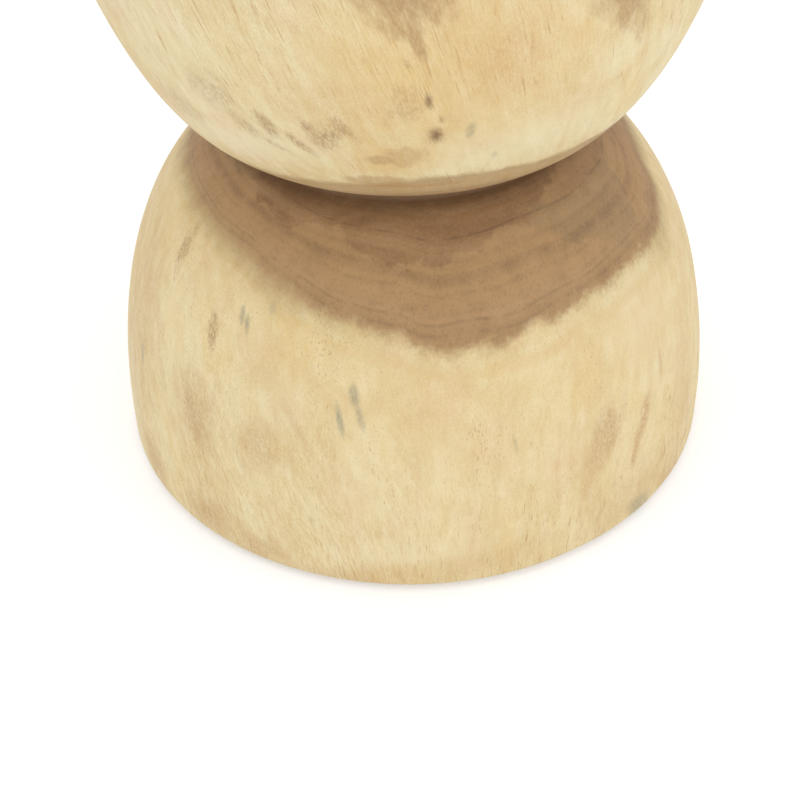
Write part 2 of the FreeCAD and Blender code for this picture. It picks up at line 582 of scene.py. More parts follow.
@dataclass(frozen=True)
class RaintreeWood:
    """Raintree, carved from the round, sanded and sealed matt.

    The eye sees pale straw sapwood with soft streaks and a few brown vessel lines that lean with the log's
    twist, a brown heart with growth rings where the waist cuts into it, grey and brown stains, and hardly
    any gloss.
    """

    sap_tones: tuple[tuple[float, str], ...] = (
        (0.30, "#d8c08d"), (0.44, "#dcc896"), (0.56, "#e0cf9f"), (0.72, "#e5d6ab"),
    )
    sap_pink: str = "#dfc09a"
    sap_gold: str = "#e2c88a"
    sap_line: str = "#c9a470"
    sap_pale: str = "#ede0bd"
    sap_near_heart: str = "#d9b87d"
    vessel: str = "#aa7b48"
    fringe: str = "#a8925c"
    heart_outer: str = "#a58257"
    heart_middle: str = "#ab8659"
    heart_dark: str = "#785838"
    heart_pale: str = "#b8946a"
    # Painted shade in the waist groove under the bowl, laid over the heartwood.
    groove: str = "#583b1e"
    ring_line: str = "#664a35"
    pith: str = "#5a3f26"

    ior: float = 1.5
    roughness: Ramp = Ramp(0.3, 0.7, 0.68, 0.56)
    bump_strength: float = 0.25
    bump_mm: float = 0.15
    vessel_relief: float = -0.7

    # Raintree vessels are about 0.3 mm wide. They are drawn near 1 mm wide, so that they show in the
    # picture.
    vessel_lines: Pattern = Pattern(0.9, 11.0, 1.0, 3.7, True)
    vessel_patches: Pattern = Pattern(24.0, 60.0, 2.0, 9.1)
    fibres: Pattern = Pattern(1.0, 8.0, on_strands=True)
    clouds: Pattern = Pattern(38.0, 95.0, 2.0)
    calms: Pattern = Pattern(38.0, 95.0, 1.0, 55.0)
    tints: Pattern = Pattern(24.0, 60.0, 2.0, 21.3)
    bands: Pattern = Pattern(6.0, 26.0, 2.0, 5.2, True)
    mottle: Pattern = Pattern(7.0, 12.0, 3.0, 27.0)
    dust: Pattern = Pattern(0.7, 1.4, 1.0, 17.0)
    heart_patches: Pattern = Pattern(24.0, 60.0, 3.0, 33.0)
    heart_mottle: Pattern = Pattern(7.0, 12.0, 3.0, 47.0)
    pores: Pattern = Pattern(1.1, 7.0, 1.0, 14.0)
    teeth: Pattern = Pattern(1.8, 3.0, 2.0, 71.0)
    mark_edges: Pattern = Pattern(7.0, 12.0, 3.0, 63.0)
    mark_specks: Pattern = Pattern(1.0, 2.4, 3.0, 41.0, True)

    # Turn of the grain in radians, then moves of the heart's edges in millimetres.
    wander: Swing = Swing(170.0, 1.0, -0.07, 0.07)
    ring_waves: Swing = Swing(48.0, 1.0, -2.5, 2.5)
    jags: Swing = Swing(12.0, 4.0, -5.0, 3.0, 0.6)
    scallops: Swing = Swing(14.0, 3.0, -6.0, 6.0)
    tooth_reach_mm: float = 2.0

    ring_mm: float = 8.0
    ring_octaves: float = 3.0
    ring_roughness: float = 0.6
    mean_reach_mm: float = 140.0
    edge_soft_mm: float = 4.0

    # Ramps over a height above the waist, below the top or above the floor, in millimetres.
    base_side: Ramp = Ramp(10.0, -10.0)
    # Painted groove shade: full up to 50 mm above the waist, gone by 90 mm.
    groove_shade_height: Ramp = Ramp(90.0, 50.0)
    end_grain: Ramp = Ramp(-2.0, -1.0, 0.35)
    dark_heart: Ramp = Ramp(270.0, 320.0)
    # Ramps over a depth inside the heart's edge, and over a radius outside the waist's, in millimetres.
    near_heart: Ramp = Ramp(-34.0, -2.0, 0.45)
    fringe_reach: Ramp = Ramp(-9.0, 0.0)
    deep_heart: Ramp = Ramp(10.0, 30.0, 1.0, 0.67)
    # Painted groove shade: starts 17 mm outside the waist's radius and is darkest 3 mm outside it.
    groove_shade_reach: Ramp = Ramp(17.0, 3.0, 0.74)
    # Ramps over a share of the heart's radius.
    middle_heart: Ramp = Ramp(0.97, 0.94)
    pith_core: Ramp = Ramp(0.045, 0.01, 0.8)
    # Ramps over a noise.
    vessel_limit: Ramp = Ramp(0.40, 0.70, 0.60, 0.76)
    vessel_edge: Ramp = Ramp(0.0, 0.08)
    vessel_share: Ramp = Ramp(0.0, 1.0, 0.55)
    heart_vessel_share: Ramp = Ramp(0.0, 1.0, 0.25)
    streak_calm: Ramp = Ramp(0.40, 0.65, 1.0, 0.35)
    ring_arcs: Ramp = Ramp(0.35, 0.62, 1.0, 0.3)
    ring_fade: Ramp = Ramp(0.38, 0.6, 1.0, 0.25)
    # Two ramps over a noise: of the tone above its mean, and of the one below.
    tint_shades: RampPair = (Ramp(0.54, 0.70, 0.45), Ramp(0.46, 0.30, 0.45))
    band_shades: RampPair = (Ramp(0.52, 0.75, 0.24), Ramp(0.48, 0.28, 0.36))
    mottle_shades: RampPair = (Ramp(0.52, 0.75, 0.32), Ramp(0.48, 0.28, 0.34))
    streak_shades: RampPair = (Ramp(0.50, 0.75, 0.52), Ramp(0.50, 0.25, 0.44))
    dust_shades: RampPair = (Ramp(0.50, 0.80, 0.36), Ramp(0.50, 0.20, 0.32))
    growth_shades: RampPair = (Ramp(0.52, 0.75, 0.22), Ramp(0.48, 0.25, 0.36))
    heart_patch_shades: RampPair = (Ramp(0.52, 0.75, 0.22), Ramp(0.48, 0.25, 0.30))
    heart_mottle_shades: RampPair = (Ramp(0.52, 0.75, 0.18), Ramp(0.48, 0.25, 0.25))
    pore_shades: RampPair = (Ramp(0.55, 0.75, 0.28), Ramp(0.45, 0.25, 0.28))

    # Twist of the grain, in radians for each millimetre up: by azimuth on the base, and on the whole bowl.
    base_twist: Shares = (
        (-180, 0.6e-3), (-100, 0.8e-3), (-48, 1.7e-3), (-24, 1.5e-3), (0, 0.5e-3), (24, -0.8e-3),
        (50, -1.2e-3), (100, -0.3e-3), (180, 0.6e-3),
    )
    bowl_twist: float = 1.8e-3
    base_middle_mm: float = 100.0
    bowl_middle_mm: float = 300.0
    # On the bowl the fibres are drawn out and follow the wall: a share of the radius adds to their rise.
    wall_rise_share: float = 0.5
    bowl_draw_share: float = 0.75
    # Strength of the fibres' streaks, by azimuth and by height in millimetres.
    combed_shares: Shares = (
        (-180, 0.7), (-90, 0.8), (-45, 1.0), (-15, 1.0), (5, 0.8), (30, 0.45), (60, 0.45), (120, 0.7),
        (180, 0.7),
    )
    combed_rise_shares: Shares = (
        (0, 1.0), (45, 0.9), (90, 0.6), (160, 0.4), (230, 0.25), (262, 0.3), (290, 0.7), (320, 1.0),
        (404, 1.0),
    )
    # Crowding of the vessels: height in millimetres, and what is added to their patches.
    vessel_crowd: Shares = (
        (4, 0.16), (50, 0.07), (110, -0.02), (200, -0.05), (250, -0.06), (300, 0.04), (350, 0.08),
        (404, 0.08),
    )
    # Edge of the heartwood: azimuth, and the share of the log's radius that it reaches.
    heart_edge_shares: Shares = (
        (-180, 0.76), (-150, 0.745), (-115, 0.725), (-84, 0.722), (-67, 0.725), (-52, 0.743), (-44, 0.750),
        (-33, 0.773), (-18, 0.802), (-3, 0.823), (3, 0.840), (8, 0.844), (16, 0.841), (31, 0.828),
        (44, 0.826), (58, 0.823), (66, 0.827), (71, 0.816), (77, 0.795), (88, 0.735), (108, 0.72),
        (135, 0.72), (160, 0.75), (180, 0.76),
    )
    # Taper of the heartwood: height in millimetres, and the share of its reach that is left there.
    heart_taper_shares: Shares = ((0, 1.05), (160, 1.0), (237, 0.912), (404, 0.80))
    # Half width of the heart's soft edge, by azimuth, as a share of edge_soft_mm.
    edge_soft_shares: Shares = (
        (-180, 1.0), (-60, 1.5), (-35, 1.25), (-15, 0.85), (5, 0.65), (35, 0.55), (60, 0.50), (75, 0.9),
        (100, 1.2), (180, 1.0),
    )
    # Strength of the olive fringe outside the heart, by azimuth.
    fringe_shares: Shares = (
        (-180, 0.35), (-90, 0.40), (-45, 0.40), (-25, 0.32), (-8, 0.16), (30, 0.08), (58, 0.20),
        (70, 0.50), (95, 0.50), (180, 0.35),
    )
    # The greyer heartwood at the right, the clearer wood inside it, and the darkest wood by the waist.
    heart_zones: tuple[HeartZone, ...] = (
        HeartZone("#9b7d54", 0.85, (
            (-180, 0.50), (18, 0.50), (28, 0.650), (33, 0.685), (37, 0.718), (42, 0.755), (50, 0.765),
            (53, 0.795), (58, 0.795), (64, 0.74), (72, 0.60), (100, 0.50), (180, 0.50),
        )),
        HeartZone(heart_middle, 0.9, (
            (-180, 0.50), (28, 0.50), (35, 0.635), (43, 0.656), (57, 0.656), (66, 0.653), (84, 0.60),
            (110, 0.50), (180, 0.50),
        )),
        HeartZone("#967149", 1.0, (
            (-180, 0.60), (-110, 0.60), (-60, 0.615), (-44, 0.640), (-34, 0.668), (-28, 0.655),
            (-22, 0.652), (-17, 0.665), (-13, 0.692), (-9, 0.704), (-3, 0.710), (4, 0.712), (9.5, 0.712),
            (12, 0.692), (19, 0.684), (23, 0.668), (33, 0.655), (40, 0.625), (52, 0.590), (66, 0.570),
            (110, 0.58), (180, 0.60),
        )),
    )
    zone_soft_mm: float = 1.0
    # Dark rings: share of the heartwood's radius, half width in millimetres, and strength.
    ring_lines: tuple[tuple[float, float, float], ...] = (
        (0.980, 0.7, 0.24), (0.962, 0.8, 0.28), (0.948, 1.2, 0.14), (0.915, 1.0, 0.16), (0.886, 2.4, 0.22),
        (0.845, 1.6, 0.14), (0.793, 0.9, 0.46), (0.76, 2.0, 0.06), (0.72, 1.0, 0.20), (0.695, 0.7, 0.24),
        (0.66, 0.8, 0.26), (0.52, 1.0, 0.30), (0.36, 0.9, 0.30), (0.20, 1.0, 0.30),
    )

    def make(self, profile: LogProfile) -> bpy.types.Material:
        """Build the wood's material.

        Args:
            profile: Outline of the log, which the heart and the marks are placed by.

        Returns:
            The material.
        """
        material, shader = new_material("raintree_sanded_matt_sealer")
        add = partial(add_node, material.node_tree)
        nodes = WoodNodes(material.node_tree, self, profile)
        relief = add("Math", [
            nodes.vessels, self.vessel_relief, nodes.fibres,
        ], operation="MULTIPLY_ADD")
        plug(shader, {
            "Base Color": nodes.colour(),
            "Roughness": add("MapRange", self.roughness.of(nodes.fibres)),
            "IOR": self.ior,
            "Normal": add("Bump", {
                "Strength": self.bump_strength, "Distance": self.bump_mm * MM, "Height": relief,
            }),
        })
        return material


class WoodNodes:
    """The nodes of the wood's figure: where a point lies in the log, and what is there."""

    def __init__(self, tree: Tree, wood: RaintreeWood, profile: LogProfile) -> None:
        """Work out where a point lies in the log, in millimetres and degrees.

        Args:
            tree: Node tree of the material.
            wood: Tones, patterns and sizes of the wood.
            profile: Outline of the log.
        """
        self.tree = tree
        self.wood = wood
        self.profile = profile
        self.add = partial(add_node, tree)
        add = self.add
        self.mm = place_mm(tree)
        axes = add("SeparateXYZ", [self.mm]).node.outputs
        self.height = axes["Z"]
        front = add("Math", [axes["Y"], -1.0], operation="MULTIPLY")
        angle = add("Math", [axes["X"], front], operation="ARCTAN2")
        self.azimuth = add("Math", [angle], operation="DEGREES")
        flat = add("VectorMath", [self.mm, LEVEL], operation="MULTIPLY")
        self.radius = add("VectorMath", [flat], "Value", operation="LENGTH")
        base_side = wood.base_side.above(profile.waist_z / MM)
        self.on_base = add("MapRange", base_side.of(self.height))
        self.grain = self.twisted_grain()
        self.strands = self.wall_strands()
        self.fibres = self.figure(wood.fibres)
        self.vessels = self.open_vessels()
        self.ragged, self.depth, self.ring = self.heart_place()
        self.growth = self.yearly_rings()

    def curve(self, value: Socket, points: Shares) -> Socket:
        """Add a smooth curve through points that are given in their own units.

        Args:
            value: Input, in the unit of the points' first numbers.
            points: Input and output of each point.

        Returns:
            The curve's output.
        """
        first, last = points[0][0], points[-1][0]
        levels = [level for _, level in points]
        least, most = min(levels), max(levels)
        share = self.add("MapRange", Ramp(first, last).of(value))
        shape = self.add("FloatCurve", {"Value": share})
        mapping = shape.node.mapping
        knots = mapping.curves[0].points
        while len(knots) < len(points):
            knots.new(0.5, 0.5)
        for knot, (position, level) in zip(knots, points):
            knot.location = ((position - first) / (last - first), (level - least) / (most - least))
        mapping.update()
        return self.add("MapRange", Ramp(0.0, 1.0, most, least).of(shape), clamp=False)

    def figure(self, pattern: Pattern) -> Socket:
        """Add a noise that is drawn out along the grain or the strands."""
        return pattern.draw(self.tree, self.strands if pattern.on_strands else self.grain)

    def swing(self, swing: Swing) -> Socket:
        """Add a noise that moves an edge or a turn.

        Args:
            swing: Its sizes.

        Returns:
            Move between the swing's two ends.
        """
        share = self.add("TexNoise", {
            "Vector": self.mm, "Scale": 1 / swing.size_mm,
            "Detail": swing.octaves, "Roughness": swing.roughness,
        }, "Fac")
        return self.add("MapRange", Ramp(0.0, 1.0, swing.most, swing.least).of(share))

    def twisted_grain(self) -> Socket:
        """Turn places about the log's axis, so that what runs straight up there leans with the grain.

        Returns:
            Place along the grain.
        """
        add = self.add
        wood = self.wood
        base_rise = add("Math", [self.height, wood.base_middle_mm], operation="SUBTRACT")
        base_turn = add("Math", [
            base_rise, self.curve(self.azimuth, wood.base_twist), self.swing(wood.wander),
        ], operation="MULTIPLY_ADD")
        bowl_rise = add("Math", [self.height, wood.bowl_middle_mm], operation="SUBTRACT")
        bowl_turn = add("Math", [bowl_rise, wood.bowl_twist], operation="MULTIPLY")
        turn = add("Mix", {"Factor": self.on_base, "A": bowl_turn, "B": base_turn}, "Result")
        return add("VectorRotate", {"Vector": self.mm, "Angle": turn}, rotation_type="Z_AXIS")

    def wall_strands(self) -> Socket:
        """Let the fibres follow the bowl's wall, where the carver kept to the grain.

        Returns:
            Place along the fibres.
        """
        add = self.add
        wood = self.wood
        wall_mm = self.profile.radius / MM
        flat = add("VectorMath", [self.grain, LEVEL], operation="MULTIPLY")
        outward = add("VectorMath", [flat], operation="NORMALIZE")
        rise = add("Math", [self.radius, wood.wall_rise_share, self.height], operation="MULTIPLY_ADD")
        drawn = add("Math", [rise, wood.bowl_draw_share], operation="MULTIPLY")
        wall = add("VectorMath", [
            outward, (wall_mm, wall_mm, 0.0), add("CombineXYZ", {"Z": drawn}),
        ], operation="MULTIPLY_ADD")
        return add("Mix", {
            "Factor": self.on_base, "A": wall, "B": self.grain,
        }, "Result", data_type="VECTOR")

    def open_vessels(self) -> Socket:
        """Add the open vessels: short brown lines along the grain, crowded in some parts of the log.

        Returns:
            How much of a vessel is here, from 0 to 1.
        """
        add = self.add
        wood = self.wood
        crowd = add("Math", [
            self.figure(wood.vessel_patches), self.curve(self.height, wood.vessel_crowd),
        ], operation="ADD")
        limit = add("MapRange", wood.vessel_limit.of(crowd))
        lines = self.figure(wood.vessel_lines)
        above = add("Math", [lines, limit], operation="SUBTRACT")
        return add("MapRange", wood.vessel_edge.of(above), **SOFT)

    def heart_place(self) -> tuple[Socket, Socket, Socket]:
        """Measure where a point lies in the heartwood.

        Returns:
            The radius with the heart's taper taken out and its edge's raggedness put in, the depth inside
            that edge, and the share of the heart's radius.
        """
        add = self.add
        wood = self.wood
        taper = self.curve(self.height, wood.heart_taper_shares)
        untapered = add("Math", [self.radius, taper], operation="DIVIDE")
        edge = self.curve(self.azimuth, wood.heart_edge_shares)
        reach = add("Math", [edge, self.profile.radius / MM], operation="MULTIPLY")
        wobbled = add("Math", [untapered, self.swing(wood.ring_waves)], operation="ADD")
        ring = add("Math", [wobbled, reach], operation="DIVIDE")
        jagged = add("Math", [
            self.figure(wood.teeth), wood.tooth_reach_mm, self.swing(wood.jags),
        ], operation="MULTIPLY_ADD")
        ragged = add("Math", [untapered, jagged], operation="ADD")
        depth = add("Math", [reach, ragged], operation="SUBTRACT")
        return ragged, depth, ring

    def yearly_rings(self) -> Socket:
        """Add the pattern of the yearly rings.

        Returns:
            Noise about 0.5 that changes with the share of the heart's radius only.
        """
        wood = self.wood
        years = self.add("Math", [self.ring, wood.mean_reach_mm / wood.ring_mm], operation="MULTIPLY")
        return self.add("TexNoise", {
            "W": years, "Scale": 1.0, "Detail": wood.ring_octaves, "Roughness": wood.ring_roughness,
        }, "Fac", noise_dimensions="1D")

    def colour(self) -> Socket:
        """Put the wood together: marked sapwood, the tones beside the heart, the heart, and other marks.

        Returns:
            The wood's colour.
        """
        add = self.add
        wood = self.wood
        near = add("MapRange", wood.near_heart.of(self.depth), **SOFT)
        near_base = add("Math", [near, self.on_base], operation="MULTIPLY")
        below_top = wood.end_grain.above(self.profile.top_z / MM)
        end_grain = add("MapRange", below_top.of(self.height))
        ringed = add("Math", [near_base, end_grain], operation="MAXIMUM")
        arcs = add("MapRange", wood.ring_arcs.of(self.growth))
        stained = add("Math", [
            self.on_base, self.curve(self.azimuth, wood.fringe_shares),
        ], operation="MULTIPLY")
        sapwood = layered(self.tree, self.marked(self.sapwood(), True), (
            Layer(ringed, WHOLE, wood.sap_near_heart, arcs),
            Layer(self.depth, wood.fringe_reach, wood.fringe, stained, True),
        ))
        both = add("Mix", {
            "Factor": self.heart_mask(), "A": sapwood, "B": self.heartwood(),
        }, "Result", data_type="RGBA")
        return self.marked(both, False)

    def sapwood(self) -> Value:
        """Add the pale outer wood: clouds of straw tones with bands, fibres and vessels over them.

        Returns:
            The sapwood's colour.
        """
        add = self.add
        wood = self.wood
        clouds = add("ValToRGB", {"Fac": self.figure(wood.clouds)})
        stops = clouds.node.color_ramp.elements
        while len(stops) < len(wood.sap_tones):
            stops.new(0.5)
        for stop, (position, tone) in zip(stops, wood.sap_tones):
            stop.position = position
            stop.color = linear(tone)
        combed = add("Math", [
            self.curve(self.azimuth, wood.combed_shares),
            self.curve(self.height, wood.combed_rise_shares),
        ], operation="MULTIPLY")
        patchy = add("MapRange", wood.streak_calm.of(self.figure(wood.calms)))
        shown = add("Math", [patchy, combed], operation="MULTIPLY")
        lines = add("Math", [self.fibres, -NOISE_MEAN], operation="ADD")
        streaks = add("Math", [lines, shown, NOISE_MEAN], operation="MULTIPLY_ADD")
        tones = (wood.sap_line, wood.sap_pale)
        return layered(self.tree, clouds, [
            *shades(self.figure(wood.tints), wood.tint_shades, (wood.sap_pink, wood.sap_gold)),
            *shades(self.figure(wood.bands), wood.band_shades, tones),
            *shades(self.figure(wood.mottle), wood.mottle_shades, tones),
            *shades(streaks, wood.streak_shades, tones),
            *shades(self.figure(wood.dust), wood.dust_shades, tones),
            Layer(self.vessels, wood.vessel_share, wood.vessel),
        ])

    def heart_mask(self) -> Socket:
        """Tell the heartwood from the sapwood, with a soft edge and a pale outer zone under the bowl.

        Returns:
            How much of the heartwood's colour is here, from 0 to 1.
        """
        add = self.add
        wood = self.wood
        soft = self.curve(self.azimuth, wood.edge_soft_shares)
        soft_mm = add("Math", [soft, wood.edge_soft_mm], operation="MULTIPLY")
        steps = add("Math", [self.depth, soft_mm], operation="DIVIDE")
        inside = add("MapRange", Ramp(-1.0, 1.0).of(steps), **SOFT)
        deep = add("MapRange", wood.deep_heart.of(self.depth), **SOFT)
        high = add("MapRange", wood.dark_heart.of(self.height))
        dark = add("Math", [high, self.on_base], operation="MAXIMUM")
        full = add("Math", [deep, dark], operation="MAXIMUM")
        return add("Math", [inside, full], operation="MULTIPLY")

    def heartwood(self) -> Value:
        """Add the brown heart: zones that darken inwards, growth rings, dark ring lines, pores, and
        painted shade in the waist groove.

        Returns:
            The heartwood's colour.
        """
        add = self.add
        wood = self.wood
        scalloped = add("Math", [self.ragged, self.swing(wood.scallops)], operation="ADD")
        zones = [Layer(self.ring, wood.middle_heart, wood.heart_middle, soft=True)]
        for zone in wood.heart_zones:
            share = self.curve(self.azimuth, zone.edge_shares)
            edge = add("Math", [share, self.profile.radius / MM], operation="MULTIPLY")
            inside = add("Math", [edge, scalloped], operation="SUBTRACT")
            ramp = Ramp(-wood.zone_soft_mm, wood.zone_soft_mm, zone.strength)
            zones.append(Layer(inside, ramp, zone.tone, soft=True))
        patches = self.figure(wood.heart_patches)
        mottle = self.figure(wood.heart_mottle)
        pores = self.figure(wood.pores)
        fade = add("MapRange", wood.ring_fade.of(mottle))
        lines = []
        for share, half_width_mm, strength in wood.ring_lines:
            off = add("Math", [self.ring, share], operation="SUBTRACT")
            away = add("Math", [off], operation="ABSOLUTE")
            ramp = Ramp(half_width_mm / wood.mean_reach_mm, 0.0, strength)
            lines.append(Layer(away, ramp, wood.ring_line, fade, True))
        groove_shade_height = wood.groove_shade_height.above(self.profile.waist_z / MM)
        low = add("MapRange", groove_shade_height.of(self.height))
        groove_shade_reach = wood.groove_shade_reach.above(self.profile.waist_radius / MM)
        tones = (wood.heart_dark, wood.heart_pale)
        return layered(self.tree, linear(wood.heart_outer), [
            *zones,
            *shades(self.growth, wood.growth_shades, tones),
            *shades(patches, wood.heart_patch_shades, tones),
            *shades(mottle, wood.heart_mottle_shades, tones),
            *shades(pores, wood.pore_shades, tones),
            *lines,
            # Painted shade: the heart darkens into the waist groove under the bowl.
            Layer(self.ragged, groove_shade_reach, wood.groove, low, True),
            Layer(self.ring, wood.pith_core, wood.pith),
            Layer(self.vessels, wood.heart_vessel_share, wood.heart_dark),
        ])

    def marked(self, colour: Value, sapwood_only: bool) -> Value:
        """Lay marks over the wood's colour, kind by kind.

        Args:
            colour: Colour of the wood.
            sapwood_only: Whether the marks that the heart hides are laid, or the others.

        Returns:
            The marked colour.
        """
        edges = self.figure(self.wood.mark_edges)
        specks = self.figure(self.wood.mark_specks)
        layers = []
        for kind, look in MARK_LOOKS.items():
            if look.sapwood_only is sapwood_only:
                broken = self.add("MapRange", look.breaks().of(specks), **SOFT)
                layers.append(Layer(self.marks(kind, look, edges), WHOLE, look.colour, broken))
        return layered(self.tree, colour, layers)

    def marks(self, kind: MarkKind, look: MarkLook, edges: Socket) -> Value:
        """Add all marks of one kind to a mask.

        Each is a ball that fades from 1 in its middle to a half at the mark's edge, twice as deep as wide.

        Args:
            kind: Kind of mark.
            look: How that kind looks.
            edges: Noise that makes the marks' outlines uneven.

        Returns:
            How much of the marks' colour is here, from 0 to 1.
        """
        add = self.add
        middle = -1.0 - NOISE_MEAN * look.uneven
        limit = add("Math", [edges, look.uneven, middle], operation="MULTIPLY_ADD")
        mask: Value = 0.0
        for mark in MARKS[kind]:
            azimuth = math.radians(mark.azimuth)
            reach = self.profile.radius_at(mark.height_mm)
            ball = add("TexGradient", {"Vector": self.mm}, "Fac", gradient_type="SPHERICAL")
            local = ball.node.texture_mapping
            local.vector_type = "TEXTURE"
            local.translation = (reach * math.sin(azimuth), -reach * math.cos(azimuth), mark.height_mm)
            local.rotation = (0.0, -math.radians(mark.lean), azimuth)
            local.scale = (mark.width_mm, 2 * mark.width_mm, mark.length_mm)
            within = add("Math", [ball, 2.0, limit], operation="MULTIPLY_ADD")
            spot = add("MapRange", Ramp(-look.soft, look.soft, mark.strength).of(within), **SOFT)
            mask = add("Math", [mask, spot], operation="MAXIMUM")
        return mask


@dataclass(frozen=True)
class MouldedPolypropylene:
    """Polypropylene, injection moulded against a spark-eroded steel: dull brown with a fine even grain."""

    colour: str = "#4a3a2c"
    worn: str = "#6a5643"
    grit: Pattern = Pattern(0.25, 0.25)
    scuffs: Pattern = Pattern(4.0, 4.0, 4.0)
    wear: Ramp = Ramp(0.45, 0.75, 0.6)
    roughness: Ramp = Ramp(0.0, 1.0, 0.62, 0.38)
    bump_strength: float = 0.3
    bump_mm: float = 0.03
    ior: float = 1.49

    def make(self) -> bpy.types.Material:
        """Build the plastic's material.

        Returns:
            The material.
        """
        material, shader = new_material("polypropylene_moulded_brown")
        tree = material.node_tree
        add = partial(add_node, tree)
        place = place_mm(tree)
        grit = self.grit.draw(tree, place)
        scuffs = self.scuffs.draw(tree, place)
        plug(shader, {
            "Base Color": layered(tree, linear(self.colour), [Layer(scuffs, self.wear, self.worn)]),
            "Roughness": add("MapRange", self.roughness.of(scuffs)),
            "IOR": self.ior,
            "Normal": add("Bump", {
                "Strength": self.bump_strength, "Distance": self.bump_mm * MM, "Height": grit,
            }),
        })
        return material


@dataclass(frozen=True)
class PressedFelt:
    """Wool felt, needled and pressed: a matt, mottled grey-brown nap of crossing fibres."""

    dark: str = "#5d5044"
    pale: str = "#8d7d6b"
    # Wool fibres are about 0.03 mm thick; tufts of them, 0.4 mm wide, are what shows.
    tufts: Pattern = Pattern(0.4, 0.4, 4.0, roughness=0.7, curl=1.5)
    mottle: Pattern = Pattern(3.0, 3.0, 2.0)
    shade: Ramp = Ramp(0.7, 1.3)
    roughness: Ramp = Ramp(0.0, 1.0, 1.0, 0.85)
    bump_strength: float = 0.7
    bump_mm: float = 0.15
    sheen: float = 0.4

    def make(self) -> bpy.types.Material:
        """Build the felt's material.

        Returns:
            The material.
        """
        material, shader = new_material("wool_felt_pressed")
        tree = material.node_tree
        add = partial(add_node, tree)
        place = place_mm(tree)
        tufts = self.tufts.draw(tree, place)
        mottle = self.mottle.draw(tree, place)
        mixed = add("Math", [tufts, mottle], operation="ADD")
        plug(shader, {
            "Base Color": layered(tree, linear(self.dark), [Layer(mixed, self.shade, self.pale)]),
            "Roughness": add("MapRange", self.roughness.of(tufts)),
            "Sheen Weight": self.sheen,
            "Normal": add("Bump", {
                "Strength": self.bump_strength, "Distance": self.bump_mm * MM, "Height": tufts,
            }),
        })
        return material


@dataclass(frozen=True)
class DrawnSteel:
    """Low-carbon steel wire, drawn and cut to nails: grey metal with fine lines along the shank."""

    bright: str = "#b4b3ae"
    dull: str = "#8c8983"
    # Drawing stretches the lines to forty times their width.
    lines: Pattern = Pattern(0.12, 4.8, 2.0)
    roughness: Ramp = Ramp(0.0, 1.0, 0.5, 0.25)

    def make(self) -> bpy.types.Material:
        """Build the steel's material.

        Returns:
            The material.
        """
        material, shader = new_material("steel_wire_drawn")
        tree = material.node_tree
        add = partial(add_node, tree)
        lines = self.lines.draw(tree, place_mm(tree))
        plug(shader, {
            "Base Color": layered(tree, linear(self.bright), [Layer(lines, WHOLE, self.dull)]),
            "Roughness": add("MapRange", self.roughness.of(lines)),
            "Metallic": 1.0,
        })
        return material


